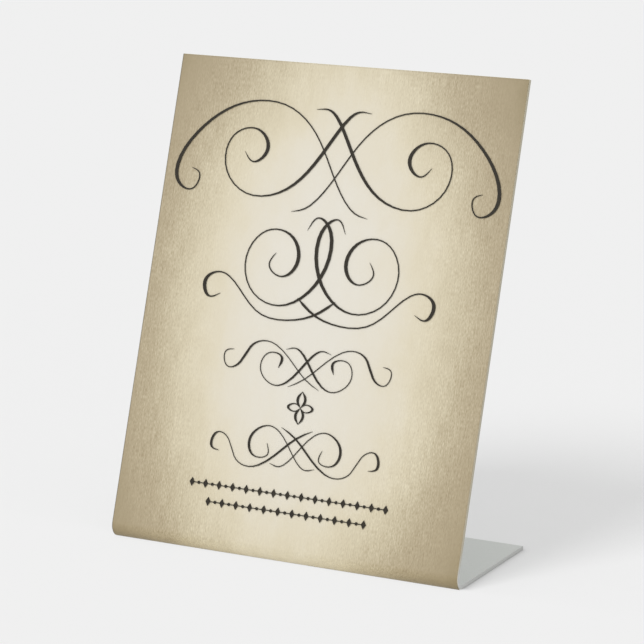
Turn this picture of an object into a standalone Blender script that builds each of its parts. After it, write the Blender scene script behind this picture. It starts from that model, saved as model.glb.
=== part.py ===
"""Printed table sign: one plastic sheet, heat-bent once, with a gold print and black pen ornaments.

Metres, +Z up, standing on z = 0. The face leans back and looks along -Y, +X is to its right seen
from the front, and the origin is in the middle of the foot's flat underside.
"""

import math

import bmesh
import bpy
import numpy as np
from mathutils import Vector
from mathutils.geometry import delaunay_2d_cdt

MM = 0.001

# The bent sheet
FACE_WIDTH = 203.2 * MM
FACE_HEIGHT = 254.0 * MM  # flat part of the face, from the end of the bend to the top edge
FOOT_REACH = 75.0 * MM  # from the start of the bend back to the rear edge of the foot
SHEET_THICKNESS = 2.0 * MM
BEND_RADIUS = 6.5 * MM  # outside of the bend
LEAN = math.radians(18.4)  # of the face from upright
EDGE_ROUND = 0.2 * MM
EDGE_ROUND_SEGMENTS = 2
BEND_STEPS = 24
SHARP_ANGLE = math.radians(30)  # edges sharper than this are rounded, and shaded as edges

# The printed layers, each a little clear of what carries it
LAYER_GAP = 0.3 * MM
GOLD_THICKNESS = 0.1 * MM
INK_THICKNESS = 0.1 * MM
TABLE_CLEARANCE = 0.1 * MM  # the lower edge of the gold stays this far above the table

# The pen that draws the ornaments: a hairline that swells where a stroke runs down the face
HAIRLINE = 0.7 * MM
SWELL = 1.35 * MM
FINE_HAIRLINE = 0.5 * MM
FINE_SWELL = 0.9 * MM
SWELL_POWER = 1.4  # how fast the swelling fades as a stroke turns away from straight down
TIP_WIDTH = 0.14 * MM
TAPER_SHARE = 0.035  # of a stroke's length, at each end

# How finely a stroke's smooth line is sampled, and where a new pair of edge points is kept
SAMPLES_PER_SPAN = 80
MOST_TURN = math.radians(11)
LONGEST_STRAIGHT = 5.0 * MM
SHORTEST_STRAIGHT = 0.5 * MM
MERGE_DISTANCE = 0.0001 * MM

# The beaded rules
RULE_LINE = 0.45 * MM
LOZENGE_LONG = 4.8 * MM
LOZENGE_WIDE = 3.0 * MM
BEAD_WIDTH = 1.8 * MM
BEAD_SIDES = 8

# The ornaments come from a drawing of this size, which is stretched to fill the flat face
DRAWING_WIDTH = 200 * MM
DRAWING_HEIGHT = 250 * MM

# Where the middle of each ornament lies, as a share of the way up the flat face
CROWN_SHARE = 0.804
MAIN_SHARE = 0.576
UPPER_SCROLL_SHARE = 0.372
KNOT_SHARE = 0.288
LOWER_SCROLL_SHARE = 0.2
LONG_RULE_SHARE = 0.108
SHORT_RULE_SHARE = 0.072

# How much of the face's width each rule takes, and how many lozenges it has
LONG_RULE_WIDTH_SHARE = 0.56
LONG_RULE_LOZENGE_COUNT = 15
SHORT_RULE_WIDTH_SHARE = 0.45
SHORT_RULE_LOZENGE_COUNT = 12

# Strokes of the ornaments in millimetres of the drawing, across and up from each ornament's middle.
# Only one of each mirrored pair is given.
CROWN_STROKES = [
    [(-16, 25), (-8, 25), (0, 17), (11, -1), (27, -18), (49, -22), (64, -9), (62, 8),
     (48, 12), (41, 2), (48, -5), (54, 0)],
    [(-22, -29), (-13, -26), (0, -10), (14, 12), (34, 26), (60, 25), (80, 12), (92, -6),
     (91, -19), (82, -22), (79, -14), (84, -11)],
]
MAIN_STROKES = [
    [(11, 19), (6, 26), (-1, 22), (-4, 8), (3, -10), (20, -21), (38, -15), (44, 3),
     (34, 17), (19, 15), (14, 2), (22, -6), (30, -1), (27, 6)],
    [(-11, -16), (0, -24), (14, -28), (32, -26), (47, -13), (58, -7), (66, -12),
     (63, -20), (56, -18)],
]
SCROLL_STROKES = [
    [(-13, 8), (-7, 9), (0, 3), (8, -7), (17, -11), (26, -4), (23, 5), (15, 4), (16, -2)],
    [(-9, -11), (0, -6), (11, 4), (23, 11), (33, 8), (39, -2), (46, -4), (48, 3), (43, 5)],
]
KNOT_STROKES = [
    [(0, 8.5), (1.9, 5.6), (2, 3), (0, 0)],
    [(0, 0), (2, -3), (1.9, -5.6), (0, -8.5)],
    [(0, 0), (3.4, 2), (7, 0), (3.4, -2), (0, 0)],
]


def linear(red, green, blue):
    """A colour given as 0 to 255 screen values, as the linear values that a material takes."""
    shares = [value / 255 for value in (red, green, blue)]
    return [s / 12.92 if s <= 0.04045 else ((s + 0.055) / 1.055) ** 2.4 for s in shares] + [1]


def material(name, colour, roughness, metallic=0.0):
    made = bpy.data.materials.new(name)
    made.use_nodes = True
    shader = made.node_tree.nodes["Principled BSDF"]
    shader.inputs["Base Color"].default_value = colour
    shader.inputs["Roughness"].default_value = roughness
    shader.inputs["Metallic"].default_value = metallic
    return made


def add_object(name, shape, finish, parent):
    """A named object made from a bmesh, with its faces turned out."""
    bmesh.ops.recalc_face_normals(shape, faces=shape.faces)
    mesh = bpy.data.meshes.new(name)
    shape.to_mesh(mesh)
    shape.free()
    mesh.materials.append(finish)
    made = bpy.data.objects.new(name, mesh)
    made.parent = parent
    bpy.context.scene.collection.objects.link(made)
    return made


def empty(name, location, parent=None):
    made = bpy.data.objects.new(name, None)
    made.location = location
    made.parent = parent
    bpy.context.scene.collection.objects.link(made)
    return made


def bend_point(radius, angle):
    """(y, z) at this radius from the bend's axis, the angle counted from straight down to the front."""
    return -radius * math.sin(angle), BEND_RADIUS - radius * math.cos(angle)


def bend_arc(radius, start):
    """Points round the bend, from the start angle up to where the flat face begins."""
    end = math.pi / 2 + LEAN
    return [bend_point(radius, start + (end - start) * i / BEND_STEPS) for i in range(BEND_STEPS + 1)]


def up_the_face(point, distance):
    return point[0] + distance * math.sin(LEAN), point[1] + distance * math.cos(LEAN)


def strip(radius, start, height):
    """One side of a layer: round the bend at this radius, then up the flat face."""
    arc = bend_arc(radius, start)
    return arc + [up_the_face(arc[-1], height)]


def extruded(outline, width):
    """A closed (y, z) outline as a solid of this width, its middle at x = 0."""
    shape = bmesh.new()
    corners = [shape.verts.new((-width / 2, y, z)) for y, z in outline]
    face = shape.faces.new(corners)
    moved = bmesh.ops.extrude_face_region(shape, geom=[face])["geom"]
    far_side = [item for item in moved if isinstance(item, bmesh.types.BMVert)]
    bmesh.ops.translate(shape, verts=far_side, vec=(width, 0, 0))
    return shape


def smooth_bend(made):
    made.data.shade_smooth()
    made.data.set_sharp_from_angle(angle=SHARP_ANGLE)


def bent_sheet(finish, parent):
    """The sheet: its foot on the table, its bend at the front and its face leaning back."""
    outside = [(FOOT_REACH, 0)] + strip(BEND_RADIUS, 0, FACE_HEIGHT)
    inside = strip(BEND_RADIUS - SHEET_THICKNESS, 0, FACE_HEIGHT)
    outline = outside + inside[::-1] + [(FOOT_REACH, SHEET_THICKNESS)]
    made = add_object("bent_sheet", extruded(outline, FACE_WIDTH), finish, parent)
    rounding = made.modifiers.new("edge_round", "BEVEL")
    rounding.width = EDGE_ROUND
    rounding.segments = EDGE_ROUND_SEGMENTS
    rounding.limit_method = "ANGLE"
    rounding.angle_limit = SHARP_ANGLE
    smooth_bend(made)


def gold_print(finish, parent):
    """The gold layer: over the whole face and down round the bend, to just above the table."""
    inner = BEND_RADIUS + LAYER_GAP
    outer = inner + GOLD_THICKNESS
    start = math.acos((BEND_RADIUS - TABLE_CLEARANCE) / outer)
    height = FACE_HEIGHT - EDGE_ROUND
    outline = strip(outer, start, height) + strip(inner, start, height)[::-1]
    made = add_object("gold_print", extruded(outline, FACE_WIDTH - 2 * EDGE_ROUND), finish, parent)
    smooth_bend(made)


def on_face(across, up, middle_share):
    """A point of an ornament's drawing, as (across, up) on the flat face in metres."""
    stretch = np.array([FACE_WIDTH / DRAWING_WIDTH, FACE_HEIGHT / DRAWING_HEIGHT])
    return np.array([across, up]) * MM * stretch + (0, middle_share * FACE_HEIGHT)


def smooth_line(points):
    """A natural cubic spline through the points, as many close samples."""
    gaps = np.sqrt(np.linalg.norm(np.diff(points, axis=0), axis=1))
    count = len(points)
    system = np.eye(count)
    bends = np.zeros((count, 2))
    for i in range(1, count - 1):
        system[i, i - 1:i + 2] = gaps[i - 1], 2 * (gaps[i - 1] + gaps[i]), gaps[i]
        ahead = (points[i + 1] - points[i]) / gaps[i]
        behind = (points[i] - points[i - 1]) / gaps[i - 1]
        bends[i] = 6 * (ahead - behind)
    bends = np.linalg.solve(system, bends)
    line = []
    for i, gap in enumerate(gaps):
        start = points[i] / gap - bends[i] * gap / 6
        end = points[i + 1] / gap - bends[i + 1] * gap / 6
        for near in np.linspace(0, gap, SAMPLES_PER_SPAN, endpoint=False):
            far = gap - near
            cubic = (bends[i] * far ** 3 + bends[i + 1] * near ** 3) / (6 * gap)
            line.append(cubic + start * far + end * near)
    return np.array(line + [points[-1]])


def pen_steps(line):
    """The samples where a pen stroke gets a new pair of edge points: each set turn or length."""
    runs = np.diff(line, axis=0)
    headings = np.unwrap(np.arctan2(runs[:, 1], runs[:, 0]))
    travelled = np.concatenate([[0], np.cumsum(np.linalg.norm(runs, axis=1))])
    kept = [0]
    for i in range(1, len(headings)):
        turned = abs(headings[i] - headings[kept[-1]]) > MOST_TURN
        gone_far = travelled[i] - travelled[kept[-1]] > LONGEST_STRAIGHT
        if turned or gone_far:
            kept.append(i)
    if travelled[-1] - travelled[kept[-1]] < SHORTEST_STRAIGHT:
        kept.pop()
    return kept + [len(line) - 1], travelled / travelled[-1]


def stroke_quads(points, hairline, swell):
    """A pen stroke as a chain of counter-clockwise quads, fuller where it runs down the face."""
    line = smooth_line(points)
    kept, share = pen_steps(line)
    headings = np.gradient(line, axis=0)
    headings /= np.linalg.norm(headings, axis=1)[:, None]
    edges = []
    for i in kept:
        along = headings[i]
        width = hairline + swell * max(0.0, -along[1]) ** SWELL_POWER
        taper = min(1.0, min(share[i], 1 - share[i]) / TAPER_SHARE)
        half = (TIP_WIDTH + (width - TIP_WIDTH) * math.sqrt(taper)) / 2
        aside = np.array([-along[1], along[0]]) * half
        edges.append((line[i] + aside, line[i] - aside))
    return [[a[1], b[1], b[0], a[0]] for a, b in zip(edges, edges[1:])]


def mirrored(outlines):
    """The outlines and their mirror images in the face's upright middle line."""
    return outlines + [[point * (-1, 1) for point in outline[::-1]] for outline in outlines]


def joined_plate(outlines, thickness):
    """One flat plate that covers every outline, crossings included, lying on z = 0."""
    corners = []
    faces = []
    for outline in outlines:
        faces.append(list(range(len(corners), len(corners) + len(outline))))
        corners += [Vector(point) for point in outline]
    result = delaunay_2d_cdt(corners, [], faces, 0, MERGE_DISTANCE)
    flat_points, flat_faces, face_sources = result[0], result[2], result[5]
    shape = bmesh.new()
    verts = [shape.verts.new((point.x, point.y, 0)) for point in flat_points]
    for face, sources in zip(flat_faces, face_sources):
        if sources:
            shape.faces.new([verts[i] for i in face])
    loose = [vert for vert in shape.verts if not vert.link_faces]
    bmesh.ops.delete(shape, geom=loose, context="VERTS")
    moved = bmesh.ops.extrude_face_region(shape, geom=shape.faces[:])["geom"]
    top = [item for item in moved if isinstance(item, bmesh.types.BMVert)]
    bmesh.ops.translate(shape, verts=top, vec=(0, 0, thickness))
    return shape


def ink_ornament(name, strokes, middle_share, hairline, swell, finish, parent, upside_down=False):
    """A mirrored pair of each stroke, joined where they cross."""
    turn = -1 if upside_down else 1
    outlines = []
    for stroke in strokes:
        points = np.array([on_face(across, turn * up, middle_share) for across, up in stroke])
        outlines += stroke_quads(points, hairline, swell)
    add_object(name, joined_plate(mirrored(outlines), INK_THICKNESS), finish, parent)


def lozenge(centre, wide, long):
    return [centre + (0, long / 2), centre - (wide / 2, 0), centre - (0, long / 2), centre + (wide / 2, 0)]


def bead(centre, width):
    turns = [2 * math.pi * i / BEAD_SIDES for i in range(BEAD_SIDES)]
    return [centre + (width / 2 * math.cos(turn), width / 2 * math.sin(turn)) for turn in turns]


def beaded_rule(name, middle_share, width_share, lozenges, finish, parent):
    """A fine line strung with lozenges, and a bead between each two."""
    middle = on_face(0, 0, middle_share)
    left = middle - (width_share * FACE_WIDTH / 2, 0)
    right = middle + (width_share * FACE_WIDTH / 2, 0)
    half_line = np.array([0, RULE_LINE / 2])
    outlines = [[left - half_line, right - half_line, right + half_line, left + half_line]]
    places = 2 * lozenges - 1
    for i in range(places):
        centre = left + (right - left) * i / (places - 1)
        if i % 2:
            outlines.append(bead(centre, BEAD_WIDTH))
        else:
            outlines.append(lozenge(centre, LOZENGE_WIDE, LOZENGE_LONG))
    add_object(name, joined_plate(outlines, INK_THICKNESS), finish, parent)


def ink_layer(finish, parent):
    """Every black ornament, on a frame that lies just above the gold on the flat face."""
    height = BEND_RADIUS + LAYER_GAP + GOLD_THICKNESS + LAYER_GAP
    y, z = bend_point(height, math.pi / 2 + LEAN)
    frame = empty("face_frame", (0, y, z), parent)
    frame.rotation_euler = (math.pi / 2 - LEAN, 0, 0)
    large = (HAIRLINE, SWELL, finish, frame)
    small = (FINE_HAIRLINE, FINE_SWELL, finish, frame)
    ink_ornament("ink_crown_flourish", CROWN_STROKES, CROWN_SHARE, *large)
    ink_ornament("ink_main_flourish", MAIN_STROKES, MAIN_SHARE, *large)
    ink_ornament("ink_upper_scroll", SCROLL_STROKES, UPPER_SCROLL_SHARE, *small)
    ink_ornament("ink_center_knot", KNOT_STROKES, KNOT_SHARE, *small)
    ink_ornament("ink_lower_scroll", SCROLL_STROKES, LOWER_SCROLL_SHARE, *small, upside_down=True)
    long_rule = (LONG_RULE_SHARE, LONG_RULE_WIDTH_SHARE, LONG_RULE_LOZENGE_COUNT)
    short_rule = (SHORT_RULE_SHARE, SHORT_RULE_WIDTH_SHARE, SHORT_RULE_LOZENGE_COUNT)
    beaded_rule("ink_long_rule", *long_rule, finish, frame)
    beaded_rule("ink_short_rule", *short_rule, finish, frame)


def main():
    for old in list(bpy.data.objects):
        bpy.data.objects.remove(old)
    sheet_finish = material("satin_grey_plastic", linear(196, 198, 195), 0.45)
    gold_finish = material("gold_paper_print", linear(214, 203, 170), 0.5)
    ink_finish = material("black_ink", linear(44, 42, 38), 0.55)
    sign = empty("sign", (0, -FOOT_REACH / 2, 0))
    bent_sheet(sheet_finish, sign)
    gold_print(gold_finish, sign)
    ink_layer(ink_finish, sign)


main()
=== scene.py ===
"""Looks, light and camera for the bent table sign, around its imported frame.

Lengths are in metres, in the frame's own axes: the foot lies on the floor round the origin,
the face leans back from -Y towards +Y, and Z is up.
"""

import math

import bpy
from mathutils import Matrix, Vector

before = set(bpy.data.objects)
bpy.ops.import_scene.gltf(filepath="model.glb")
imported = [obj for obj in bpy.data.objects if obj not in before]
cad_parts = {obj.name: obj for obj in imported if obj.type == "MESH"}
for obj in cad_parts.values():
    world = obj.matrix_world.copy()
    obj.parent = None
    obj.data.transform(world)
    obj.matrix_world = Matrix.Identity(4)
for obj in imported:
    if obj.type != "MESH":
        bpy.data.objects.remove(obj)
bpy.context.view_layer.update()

# Sizes of the sheet, as in the part's source
MM = 0.001
HALF_WIDTH = 101.6 * MM
FACE_HEIGHT = 254.0 * MM
FOOT_END = 37.5 * MM
SHEET_THICKNESS = 2.0 * MM
BEND_AXIS_Y = -37.5 * MM
BEND_AXIS_Z = 6.5 * MM
PRINT_RADIUS = 6.9 * MM
LEAN = math.radians(18.4)

# Directions on the sign, and the place where the print's flat part starts above the bend
ACROSS = (1, 0, 0)
BACK = (0, 1, 0)
UP = (0, 0, 1)
UP_FACE = Vector((0, math.sin(LEAN), math.cos(LEAN)))
OUT_OF_FACE = Vector((0, -math.cos(LEAN), math.sin(LEAN)))
FACE_START = Vector((0, BEND_AXIS_Y, BEND_AXIS_Z)) + OUT_OF_FACE * PRINT_RADIUS

# Camera, fitted to the edges of the sheet in the picture
CAMERA_AZIMUTH = math.radians(27.71)
CAMERA_ELEVATION = math.radians(13.099)
CAMERA_DISTANCE = 1585.065 * MM
CAMERA_TARGET = Vector((0.31, 2.5, 119.25)) * MM
CAMERA_NEAREST = 0.05
SENSOR_WIDTH = 36.0
CAMERA_LENS = 169.546

# Light: an even pale surround, and one soft key light from the left front
FLOOR_GREY = 240
FLOOR_REACH = 12.0
FILL_STRENGTH = 0.69
KEY_STRENGTH = 1.3
KEY_ANGLE = math.radians(26.6)
KEY_DIRECTION = Vector((-0.374, -0.818, 1.0))

# Floor: how much of its own glow is seen before and behind the bend, and the painted contact shade that
# darkens its colour along the line of contact
GLOW_IN_FRONT = 0.92
GLOW_BEHIND = 0.36
CONTACT_REACH = 5 * MM
CONTACT_SAMPLES = 8
CONTACT_OPENNESS = 0.5
# How far the painted contact shade darkens the floor's colour behind the bend
PAINTED_CONTACT_SHADE = 0.82
BEHIND_START = -3 * MM
BEHIND_END = 12 * MM
BEHIND_END_BESIDE_SHEET = 2 * MM
SHEET_SIDE_SPAN = (HALF_WIDTH - 1 * MM, HALF_WIDTH)

# Printed gold, as 8-bit values: from the pale middle of the face outwards to its corners
GOLD_STOPS = (
    (0.00, (221, 217, 207)),
    (0.30, (217, 209, 189)),
    (0.50, (213, 203, 176)),
    (0.75, (190, 178, 149)),
    (0.95, (174, 160, 131)),
    (1.35, (160, 145, 115)),
    (1.60, (145, 131, 98)),
)
# Painted light: a pale colour on the hidden faces in the thin gap between print and sheet, lifting the shade
# in the gap
PAINTED_GAP_LIGHT = (220, 211, 187)

# Where the pale middle lies, and how far from it, and how fast, the gold deepens
PALE_ACROSS = -1.2 * MM
PALE_UP = 122.4 * MM
DEEP_ACROSS = 100 * MM
DEEP_UP = 177.4 * MM
SPEED_ACROSS = 1.7
SPEED_UP = 2.25
STAIN_SIZE = 13 * MM
STAIN_STRETCH = (1, 1, 0.45)
STAIN_SHIFT = 0.062

# Where that fade is a little deeper or paler: how far across and up, its reach across and up, and how much
UNEVEN_PLACES = (
    (-36 * MM, 225 * MM, 51 * MM, 30 * MM, 0.075),
    (92 * MM, 231 * MM, 75 * MM, 22 * MM, 0.055),
    (61 * MM, 52 * MM, 40 * MM, 64 * MM, -0.06),
)

# Paper grain of the gold: fine fibres, longer streaks and soft mottling
FIBRE_SIZE = 0.4 * MM
FIBRE_STRETCH = (1, 1, 0.22)
FIBRE_SHARE = 0.63
STREAK_SIZE = 0.55 * MM
STREAK_STRETCH = (1, 1, 0.05)
STREAK_SHARE = 0.37
MOTTLE_SIZE = 1.15 * MM
MOTTLE_STRETCH = (1, 1, 0.5)
GRAIN_BY_CHANNEL = (0.84, 0.97, 1.2)
GRAIN_ROUGHNESS = (0.46, 0.58)
GOLD_RELIEF = 0.03 * MM

# How strong the grain is further outwards: it rises from the middle, and fades again in the corners
GRAIN_RISE_SPAN = (0.28, 0.88)
GRAIN_IN_MIDDLE = 0.07
GRAIN_AT_MOST = 1.68
GRAIN_FALL_SPAN = (0.95, 1.4)
GRAIN_LEFT_AT_EDGES = 0.94
GRAIN_LEFT_IN_CORNERS = 0.16
MOTTLE_RISE_SPAN = (0.1, 0.75)
MOTTLE_AT_MOST = 0.15

# Edges of the gold: painted shade in a darker rim at the left side, where the rounded edge turns from the
# light, a darker rim at the top, and a thin greyer line of painted shade on the left
SIDE_SHADE_SPAN = (HALF_WIDTH - 1.2 * MM, HALF_WIDTH - 0.6 * MM)
PAINTED_SIDE_SHADE = 0.88
TOP_RIM_SPAN = (FACE_HEIGHT - 1.1 * MM, FACE_HEIGHT - 0.5 * MM)
TOP_RIM_TONE = 0.9
SHADE_LINE_SPAN = (HALF_WIDTH - 0.7 * MM, HALF_WIDTH - 0.3 * MM)
PAINTED_SHADE_LINE = (110, 106, 92)
SHADE_LINE_SHARE = 0.85

# Gold round the bend: a painted reflection of the pale floor makes its middle paler, its ends are made
# darker, and its warmth differs in the middle and at the ends
BEND_SPAN = (-8 * MM, 0.0)
BEND_REFLECTION_SPAN = (35 * MM, 90 * MM)
BEND_REFLECTION_IN_MIDDLE = 1.13
BEND_DARKENING_AT_ENDS = 0.93
WARM_SPAN = (-6 * MM, 2 * MM)
BEND_WARMTH_SPAN = (20 * MM, 80 * MM)
BEND_WARMTH_IN_MIDDLE = 0.4
WARMTH_OF_BEND = (1.0, 0.98, 0.9)

# Plastic sheet and its cut edges; beside the print the cut edges get a darker, warm painted reflection of the
# gold
SHEET_PALE = (217, 220, 216)
SHEET_DULL = (214, 217, 213)
CUT_EDGE = (205, 206, 203)
CUT_EDGE_GOLD_REFLECTION = (187, 180, 160)
GOLD_REFLECTION_SPAN = (6 * MM, 22 * MM)
CUT_RIM = 0.3 * MM
CUT_ROUGHNESS = 0.65
CLOUD_SIZE = 45 * MM
CLOUD_STRETCH = (1, 1, 0.5)
SPECK_SIZE = 0.9 * MM
SPECK_TONES = (0.965, 1.035)
SAW_MARK_SIZE = 0.5 * MM
SAW_MARK_STRETCH = (0.2, 1, 1)
SAW_MARK_TONES = (0.95, 1.05)
SHEET_ROUGHNESS = (0.41, 0.46)
SHEET_RELIEF = 0.012 * MM

# Black print
INK_DARK = (30, 25, 14)
INK_WORN = (43, 37, 25)
INK_GLOSS = 0.3
INK_ROUGHNESS = (0.48, 0.62)
INK_PATCH_SIZE = 3.5 * MM
INK_GRAIN_SIZE = 0.6 * MM
INK_GRAIN_STRETCH = (1, 1, 0.3)
INK_RELIEF = 0.01 * MM

# Marks that are as long one way as the other
NO_STRETCH = (1, 1, 1)

# Smooth shading: corners closer than this are one, and edges that turn more than this stay sharp
JOIN_DISTANCE = 0.001 * MM
SHARP_TURN = math.radians(50)


def linear(colour):
    """An 8-bit colour as linear values, with alpha."""
    def channel(value):
        share = value / 255
        return share / 12.92 if share <= 0.04045 else ((share + 0.055) / 1.055) ** 2.4

    return (*(channel(value) for value in colour), 1.0)


class Look:
    """One procedural material, built a node at a time."""

    def __init__(self, name):
        self.material = bpy.data.materials.new(name)
        self.material.use_nodes = True
        self.tree = self.material.node_tree
        self.shader = self.tree.nodes["Principled BSDF"]
        place = self.node("ShaderNodeTexCoord")
        self.place = place.outputs["Object"]
        self.facing = place.outputs["Normal"]

    def node(self, kind, inputs=None, **settings):
        """A new node with its settings, and each input linked or given a value."""
        made = self.tree.nodes.new(kind)
        for name, value in settings.items():
            setattr(made, name, value)
        for key, value in (inputs or {}).items():
            if isinstance(value, bpy.types.NodeSocket):
                self.tree.links.new(value, made.inputs[key])
            else:
                made.inputs[key].default_value = value
        return made

    def math(self, operation, *values):
        """A number worked out from other numbers."""
        return self.node("ShaderNodeMath", dict(enumerate(values)), operation=operation).outputs[0]

    def vector(self, operation, first, second):
        """A place or colour worked out from two others, axis by axis or channel by channel."""
        return self.node("ShaderNodeVectorMath", {0: first, 1: second}, operation=operation).outputs["Vector"]

    def scaled(self, colour, amount):
        """A colour made darker or paler by an amount that varies."""
        made = self.node("ShaderNodeVectorMath", {0: colour, "Scale": amount}, operation="SCALE")
        return made.outputs["Vector"]

    def share_of(self, vector, direction):
        """How far a vector points along a direction."""
        inputs = {0: vector, 1: tuple(direction)}
        return self.node("ShaderNodeVectorMath", inputs, operation="DOT_PRODUCT").outputs["Value"]

    def along(self, direction, start=(0, 0, 0)):
        """How far each point lies along a direction from a start."""
        return self.share_of(self.vector("SUBTRACT", self.place, tuple(start)), direction)

    def on_face(self):
        """A place in the face's own directions: across it, out of it and up it."""
        across = self.along(ACROSS)
        out = self.along(OUT_OF_FACE, FACE_START)
        up = self.along(UP_FACE, FACE_START)
        return self.node("ShaderNodeCombineXYZ", {0: across, 1: out, 2: up}).outputs[0]

    def noise(self, place, stretch, size, detail, roughness):
        """Noise from 0 to 1, with marks of about the given size. A small stretch draws them out that way."""
        inputs = {
            "Vector": self.vector("MULTIPLY", place, stretch),
            "Scale": 1 / size,
            "Detail": detail,
            "Roughness": roughness,
        }
        return self.node("ShaderNodeTexNoise", inputs).outputs["Fac"]

    def between(self, value, low, high, start=0.0, end=1.0, curve="SMOOTHSTEP"):
        """Start where the value is at or under low, end at or over high, and a soft run in between."""
        inputs = {"Value": value, "From Min": low, "From Max": high, "To Min": start, "To Max": end}
        return self.node("ShaderNodeMapRange", inputs, interpolation_type=curve).outputs["Result"]

    def straight(self, value, low, high, start, end):
        """The same as between, with a straight run."""
        return self.between(value, low, high, start, end, "LINEAR")

    def mixed(self, share, first, second):
        """The first colour, with a share of the second. The numbers are the sockets for colours."""
        return self.node("ShaderNodeMix", {0: share, 6: first, 7: second}, data_type="RGBA").outputs[2]

    def ramp(self, value, stops):
        """A colour that runs softly through the stops as the value goes from 0 to 1."""
        made = self.node("ShaderNodeValToRGB", {0: value})
        ramp = made.color_ramp
        ramp.interpolation = "B_SPLINE"
        while len(ramp.elements) < len(stops):
            ramp.elements.new(0.5)
        for element, (position, colour) in zip(ramp.elements, stops):
            element.position = position
            element.color = linear(colour)
        return made.outputs["Color"]

    def finish(self, colour, roughness, height, depth):
        """Joins the colour, the roughness and the fine relief to the shader."""
        bump = self.node("ShaderNodeBump", {"Height": height, "Distance": depth, "Strength": 1.0})
        self.tree.links.new(colour, self.shader.inputs["Base Color"])
        self.tree.links.new(roughness, self.shader.inputs["Roughness"])
        self.tree.links.new(bump.outputs["Normal"], self.shader.inputs["Normal"])
        return self.material


def gold_tone(look, on_face, outwards):
    """The gold's colour without its grain: deeper further outwards, with faint stains and uneven places."""
    stain = look.noise(look.place, STAIN_STRETCH, STAIN_SIZE, 3.0, 0.65)
    wandering = look.math("ADD", outwards, look.straight(stain, 0.3, 0.7, -STAIN_SHIFT, STAIN_SHIFT))
    for across, up, reach_across, reach_up, amount in UNEVEN_PLACES:
        offset = look.vector("SUBTRACT", on_face, (across, 0, up))
        ratio = look.vector("MULTIPLY", offset, (1 / reach_across, 0, 1 / reach_up))
        away = look.node("ShaderNodeVectorMath", {0: ratio}, operation="LENGTH").outputs["Value"]
        wandering = look.math("ADD", wandering, look.between(away, 0.0, 1.0, amount, 0.0))
    furthest = GOLD_STOPS[-1][0]
    stops = [(position / furthest, colour) for position, colour in GOLD_STOPS]
    return look.ramp(look.math("DIVIDE", wandering, furthest), stops)


def gold_grain(look, on_face, outwards):
    """The gold's upright paper grain from 0 to 1, and how much it lightens or darkens each point."""
    fibres = look.noise(on_face, FIBRE_STRETCH, FIBRE_SIZE, 1.0, 0.5)
    streaks = look.noise(on_face, STREAK_STRETCH, STREAK_SIZE, 1.0, 0.5)
    mottle = look.noise(on_face, MOTTLE_STRETCH, MOTTLE_SIZE, 1.0, 0.5)
    grain = look.math("MULTIPLY_ADD", fibres, FIBRE_SHARE, look.math("MULTIPLY", streaks, STREAK_SHARE))
    rise = look.between(outwards, *GRAIN_RISE_SPAN, GRAIN_IN_MIDDLE, GRAIN_AT_MOST)
    fall = look.between(outwards, *GRAIN_FALL_SPAN, GRAIN_LEFT_AT_EDGES, GRAIN_LEFT_IN_CORNERS)
    depth_of_grain = look.math("MULTIPLY", rise, fall)
    depth_of_mottle = look.between(outwards, *MOTTLE_RISE_SPAN, 0.0, MOTTLE_AT_MOST)
    fine_swing = look.math("MULTIPLY", look.math("SUBTRACT", grain, 0.5), depth_of_grain)
    swing = look.math("MULTIPLY_ADD", look.math("SUBTRACT", mottle, 0.5), depth_of_mottle, fine_swing)
    return grain, swing


def gold_look():
    """The printed gold: pale in the middle, deeper towards the corners, with a fine upright paper grain."""
    look = Look("gold_paper_print_detailed")
    up_face = look.along(UP_FACE, FACE_START)
    up = look.math("MAXIMUM", up_face, 0.0)
    from_centre = look.math("ABSOLUTE", look.along(ACROSS, (PALE_ACROSS, 0, 0)))
    from_middle = look.math("ABSOLUTE", look.math("SUBTRACT", up, PALE_UP))
    side_share = look.math("POWER", look.math("DIVIDE", from_centre, DEEP_ACROSS), SPEED_ACROSS)
    end_share = look.math("POWER", look.math("DIVIDE", from_middle, DEEP_UP), SPEED_UP)
    outwards = look.math("ADD", side_share, end_share)

    on_face = look.on_face()
    grain, swing = gold_grain(look, on_face, outwards)
    shares = look.vector("ADD", look.scaled(GRAIN_BY_CHANNEL, swing), (1, 1, 1))
    grained = look.vector("MULTIPLY", gold_tone(look, on_face, outwards), shares)

    to_left = look.along((-1, 0, 0))
    # Painted shade: the gold darkens in a rim along its left edge, and below a thin greyer line of painted
    # shade is mixed in
    painted_side_shade = look.between(to_left, *SIDE_SHADE_SPAN, 1.0, PAINTED_SIDE_SHADE)
    top_rim = look.between(up, *TOP_RIM_SPAN, 1.0, TOP_RIM_TONE)
    toned = look.scaled(grained, look.math("MULTIPLY", painted_side_shade, top_rim))
    painted_shade_line = look.between(to_left, *SHADE_LINE_SPAN, 0.0, SHADE_LINE_SHARE)
    rimmed = look.mixed(painted_shade_line, toned, linear(PAINTED_SHADE_LINE))

    # Painted reflection: the lower bend is paler in the middle, standing in for the pale floor's light on it,
    # and darker at its ends
    bend_reflection_and_darkening = look.between(from_centre, *BEND_REFLECTION_SPAN, BEND_REFLECTION_IN_MIDDLE, BEND_DARKENING_AT_ENDS)
    turned = look.scaled(rimmed, look.between(up_face, *BEND_SPAN, bend_reflection_and_darkening, 1.0))
    most_warmth = look.between(from_centre, *BEND_WARMTH_SPAN, BEND_WARMTH_IN_MIDDLE, 1.0)
    warmth = look.between(up_face, *WARM_SPAN, most_warmth, 0.0)
    printed = look.mixed(warmth, turned, look.vector("MULTIPLY", turned, WARMTH_OF_BEND))
    # Painted light on the back of the print, where it faces the sheet across the gap
    gap_light_on_print = look.between(look.share_of(look.facing, OUT_OF_FACE), -0.8, -0.5, 1.0, 0.0)
    colour = look.mixed(gap_light_on_print, printed, linear(PAINTED_GAP_LIGHT))

    roughness = look.straight(grain, 0.3, 0.7, *GRAIN_ROUGHNESS)
    return look.finish(colour, roughness, grain, GOLD_RELIEF)


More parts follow.
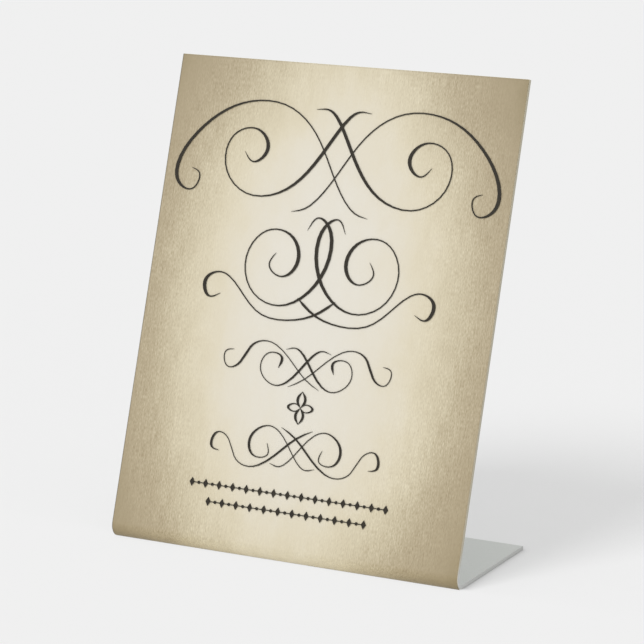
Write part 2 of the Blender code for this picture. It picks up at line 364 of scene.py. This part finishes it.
def sheet_look():
    """The satin plastic sheet: a soft, slightly uneven grey with matt cut edges."""
    look = Look("satin_grey_plastic_detailed")
    height = look.along(UP)
    cloud = look.noise(look.place, CLOUD_STRETCH, CLOUD_SIZE, 3.0, 0.5)
    specks = look.noise(look.place, NO_STRETCH, SPECK_SIZE, 3.0, 0.6)
    tone = look.mixed(look.between(cloud, 0.35, 0.65), linear(SHEET_DULL), linear(SHEET_PALE))
    speckled = look.scaled(tone, look.straight(specks, 0.25, 0.75, *SPECK_TONES))

    def cut_at(reach, edge):
        """One on the last of the reach before an edge, nought elsewhere."""
        return look.between(reach, edge - CUT_RIM, edge - CUT_RIM / 2)

    side_cut = cut_at(look.math("ABSOLUTE", look.along(ACROSS)), HALF_WIDTH)
    top_cut = cut_at(look.along(UP_FACE, FACE_START), FACE_HEIGHT)
    foot_only = look.between(height, SHEET_THICKNESS, SHEET_THICKNESS + CUT_RIM, 1.0, 0.0)
    end_cut = look.math("MULTIPLY", cut_at(look.along(BACK), FOOT_END), foot_only)
    cut = look.math("MAXIMUM", side_cut, look.math("MAXIMUM", top_cut, end_cut))

    saw_marks = look.noise(look.place, SAW_MARK_STRETCH, SAW_MARK_SIZE, 2.0, 0.6)
    # Painted reflection: higher up, beside the print, the cut edges take a warm tint of the gold
    gold_reflection_share = look.between(height, *GOLD_REFLECTION_SPAN)
    cut_tone = look.mixed(gold_reflection_share, linear(CUT_EDGE), linear(CUT_EDGE_GOLD_REFLECTION))
    sawn = look.scaled(cut_tone, look.straight(saw_marks, 0.3, 0.7, *SAW_MARK_TONES))
    # Painted light on the sheet's faces under the print, seen only in the thin gap
    gap_light_on_sheet = look.between(look.share_of(look.facing, OUT_OF_FACE), 0.3, 0.6)
    colour = look.mixed(gap_light_on_sheet, look.mixed(cut, speckled, sawn), linear(PAINTED_GAP_LIGHT))

    satin = look.straight(cloud, 0.3, 0.7, *SHEET_ROUGHNESS)
    roughness = look.math("MAXIMUM", satin, look.math("MULTIPLY", cut, CUT_ROUGHNESS))
    return look.finish(colour, roughness, specks, SHEET_RELIEF)


def ink_look():
    """The dark print: a warm black that lies a little unevenly on the grain."""
    look = Look("black_ink_detailed")
    patches = look.noise(look.place, NO_STRETCH, INK_PATCH_SIZE, 3.0, 0.6)
    grain = look.noise(look.on_face(), INK_GRAIN_STRETCH, INK_GRAIN_SIZE, 2.0, 0.6)
    uneven = look.math("MULTIPLY_ADD", grain, 0.5, look.math("MULTIPLY", patches, 0.5))
    colour = look.mixed(look.between(uneven, 0.38, 0.62), linear(INK_DARK), linear(INK_WORN))
    roughness = look.straight(uneven, 0.35, 0.65, *INK_ROUGHNESS)
    look.shader.inputs["Specular IOR Level"].default_value = INK_GLOSS
    return look.finish(colour, roughness, grain, INK_RELIEF)


def smooth_group():
    """Nodes that join split corners and shade smoothly, but for edges that turn sharply."""
    group = bpy.data.node_groups.new("smooth_shading", "GeometryNodeTree")
    group.interface.new_socket("Geometry", in_out="INPUT", socket_type="NodeSocketGeometry")
    group.interface.new_socket("Geometry", in_out="OUTPUT", socket_type="NodeSocketGeometry")
    start = group.nodes.new("NodeGroupInput")
    end = group.nodes.new("NodeGroupOutput")
    joined = group.nodes.new("GeometryNodeMergeByDistance")
    joined.inputs["Distance"].default_value = JOIN_DISTANCE
    plain = group.nodes.new("GeometryNodeRemoveAttribute")
    plain.inputs["Name"].default_value = "custom_normal"
    faces = group.nodes.new("GeometryNodeSetShadeSmooth")
    faces.domain = "FACE"
    edges = group.nodes.new("GeometryNodeSetShadeSmooth")
    edges.domain = "EDGE"
    edges.inputs["Shade Smooth"].default_value = False
    angle = group.nodes.new("GeometryNodeInputMeshEdgeAngle")
    sharp = group.nodes.new("FunctionNodeCompare")
    sharp.operation = "GREATER_THAN"
    sharp.inputs[1].default_value = SHARP_TURN
    link = group.links.new
    link(start.outputs[0], joined.inputs["Geometry"])
    link(joined.outputs[0], plain.inputs["Geometry"])
    link(plain.outputs[0], faces.inputs["Geometry"])
    link(faces.outputs[0], edges.inputs["Geometry"])
    link(angle.outputs["Unsigned Angle"], sharp.inputs[0])
    link(sharp.outputs[0], edges.inputs["Selection"])
    link(edges.outputs[0], end.inputs[0])
    return group


def dress():
    """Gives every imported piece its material, and the bent pieces their smooth shading."""
    looks = {"sheet": sheet_look(), "gold": gold_look(), "ink": ink_look()}
    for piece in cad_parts.values():
        for slot in piece.material_slots:
            slot.material = looks[slot.material.name]
    group = smooth_group()
    for name in ("bent_sheet", "gold_print"):
        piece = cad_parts[name]
        piece.modifiers.new("smooth_shading", "NODES").node_group = group
        piece.modifiers.new("even_flats", "WEIGHTED_NORMAL").keep_sharp = True


def seen_directly(tree):
    """One where a surface is seen straight on, in a gloss or through glass, nought for the light it gives."""
    ray = tree.nodes.new("ShaderNodeLightPath")
    found = ray.outputs["Is Camera Ray"]
    for name in ("Is Glossy Ray", "Is Transmission Ray"):
        larger = tree.nodes.new("ShaderNodeMath")
        larger.operation = "MAXIMUM"
        tree.links.new(found, larger.inputs[0])
        tree.links.new(ray.outputs[name], larger.inputs[1])
        found = larger.outputs[0]
    return found


def mixed_shaders(tree, share, first, second, output):
    """Sends the first shader, with a share of the second, to the named output."""
    choice = tree.nodes.new("ShaderNodeMixShader")
    tree.links.new(share, choice.inputs[0])
    tree.links.new(first, choice.inputs[1])
    tree.links.new(second, choice.inputs[2])
    tree.links.new(choice.outputs[0], tree.nodes[output].inputs["Surface"])


def floor_look():
    """The pale matt floor. It keeps the shadow, and painted contact shade darkens its colour along the line
    of contact behind the bend.
    """
    look = Look("pale_floor")
    pale = linear((FLOOR_GREY,) * 3)
    inputs = {"Distance": CONTACT_REACH}
    openness = look.node("ShaderNodeAmbientOcclusion", inputs, samples=CONTACT_SAMPLES).outputs["AO"]
    behind_end = look.between(look.along(ACROSS), *SHEET_SIDE_SPAN, BEHIND_END, BEHIND_END_BESIDE_SHEET)
    behind = look.between(look.along(BACK, (0, BEND_AXIS_Y, 0)), BEHIND_START, behind_end)
    glow_behind = look.straight(openness, CONTACT_OPENNESS, 1.0, 0.0, GLOW_BEHIND)
    glow_share = look.straight(behind, 0.0, 1.0, GLOW_IN_FRONT, glow_behind)
    # Painted shade: the floor's colour darkens where the sheet is near, behind the bend
    deepest_painted_shade = look.straight(behind, 0.0, 1.0, 1.0, PAINTED_CONTACT_SHADE)
    colour = look.scaled(pale[:3], look.straight(openness, CONTACT_OPENNESS, 1.0, deepest_painted_shade, 1.0))
    look.tree.links.new(colour, look.shader.inputs["Base Color"])
    look.shader.inputs["Roughness"].default_value = 1.0
    look.shader.inputs["Specular IOR Level"].default_value = 0.0
    glow = look.node("ShaderNodeEmission", {"Color": pale})
    share = look.math("MULTIPLY", seen_directly(look.tree), glow_share)
    mixed_shaders(look.tree, share, look.shader.outputs[0], glow.outputs[0], "Material Output")
    return look.material


def floor():
    """The pale floor that the sign stands on."""
    reach = FLOOR_REACH
    mesh = bpy.data.meshes.new("floor")
    corners = [(-reach, -reach, 0), (reach, -reach, 0), (reach, reach, 0), (-reach, reach, 0)]
    mesh.from_pydata(corners, [], [(0, 1, 2, 3)])
    mesh.materials.append(floor_look())
    made = bpy.data.objects.new("floor", mesh)
    bpy.context.scene.collection.objects.link(made)


def surround():
    """An even light from all round that looks as pale as the floor does."""
    world = bpy.data.worlds.new("surround")
    bpy.context.scene.world = world
    world.use_nodes = True
    tree = world.node_tree
    fill = tree.nodes["Background"]
    fill.inputs["Color"].default_value = (1, 1, 1, 1)
    fill.inputs["Strength"].default_value = FILL_STRENGTH
    seen = tree.nodes.new("ShaderNodeBackground")
    seen.inputs["Color"].default_value = linear((FLOOR_GREY,) * 3)
    mixed_shaders(tree, seen_directly(tree), fill.outputs[0], seen.outputs[0], "World Output")


def key_light():
    """The soft key light that casts the shadow to the right and behind."""
    lamp = bpy.data.lights.new("key", "SUN")
    lamp.energy = KEY_STRENGTH
    lamp.angle = KEY_ANGLE
    made = bpy.data.objects.new("key", lamp)
    made.rotation_mode = "QUATERNION"
    made.rotation_quaternion = KEY_DIRECTION.to_track_quat("Z", "Y")
    bpy.context.scene.collection.objects.link(made)


def camera():
    """The camera at the picture's angle."""
    flat = math.cos(CAMERA_ELEVATION)
    back = Vector((
        math.sin(CAMERA_AZIMUTH) * flat,
        -math.cos(CAMERA_AZIMUTH) * flat,
        math.sin(CAMERA_ELEVATION),
    ))
    lens = bpy.data.cameras.new("camera")
    lens.sensor_width = SENSOR_WIDTH
    lens.lens = CAMERA_LENS
    lens.clip_start = CAMERA_NEAREST
    lens.clip_end = 3 * FLOOR_REACH
    made = bpy.data.objects.new("camera", lens)
    made.location = CAMERA_TARGET + back * CAMERA_DISTANCE
    made.rotation_mode = "QUATERNION"
    made.rotation_quaternion = (-back).to_track_quat("-Z", "Y")
    bpy.context.scene.collection.objects.link(made)
    bpy.context.scene.camera = made


bpy.context.scene.view_settings.view_transform = "Standard"
camera()
surround()
key_light()
floor()
dress()
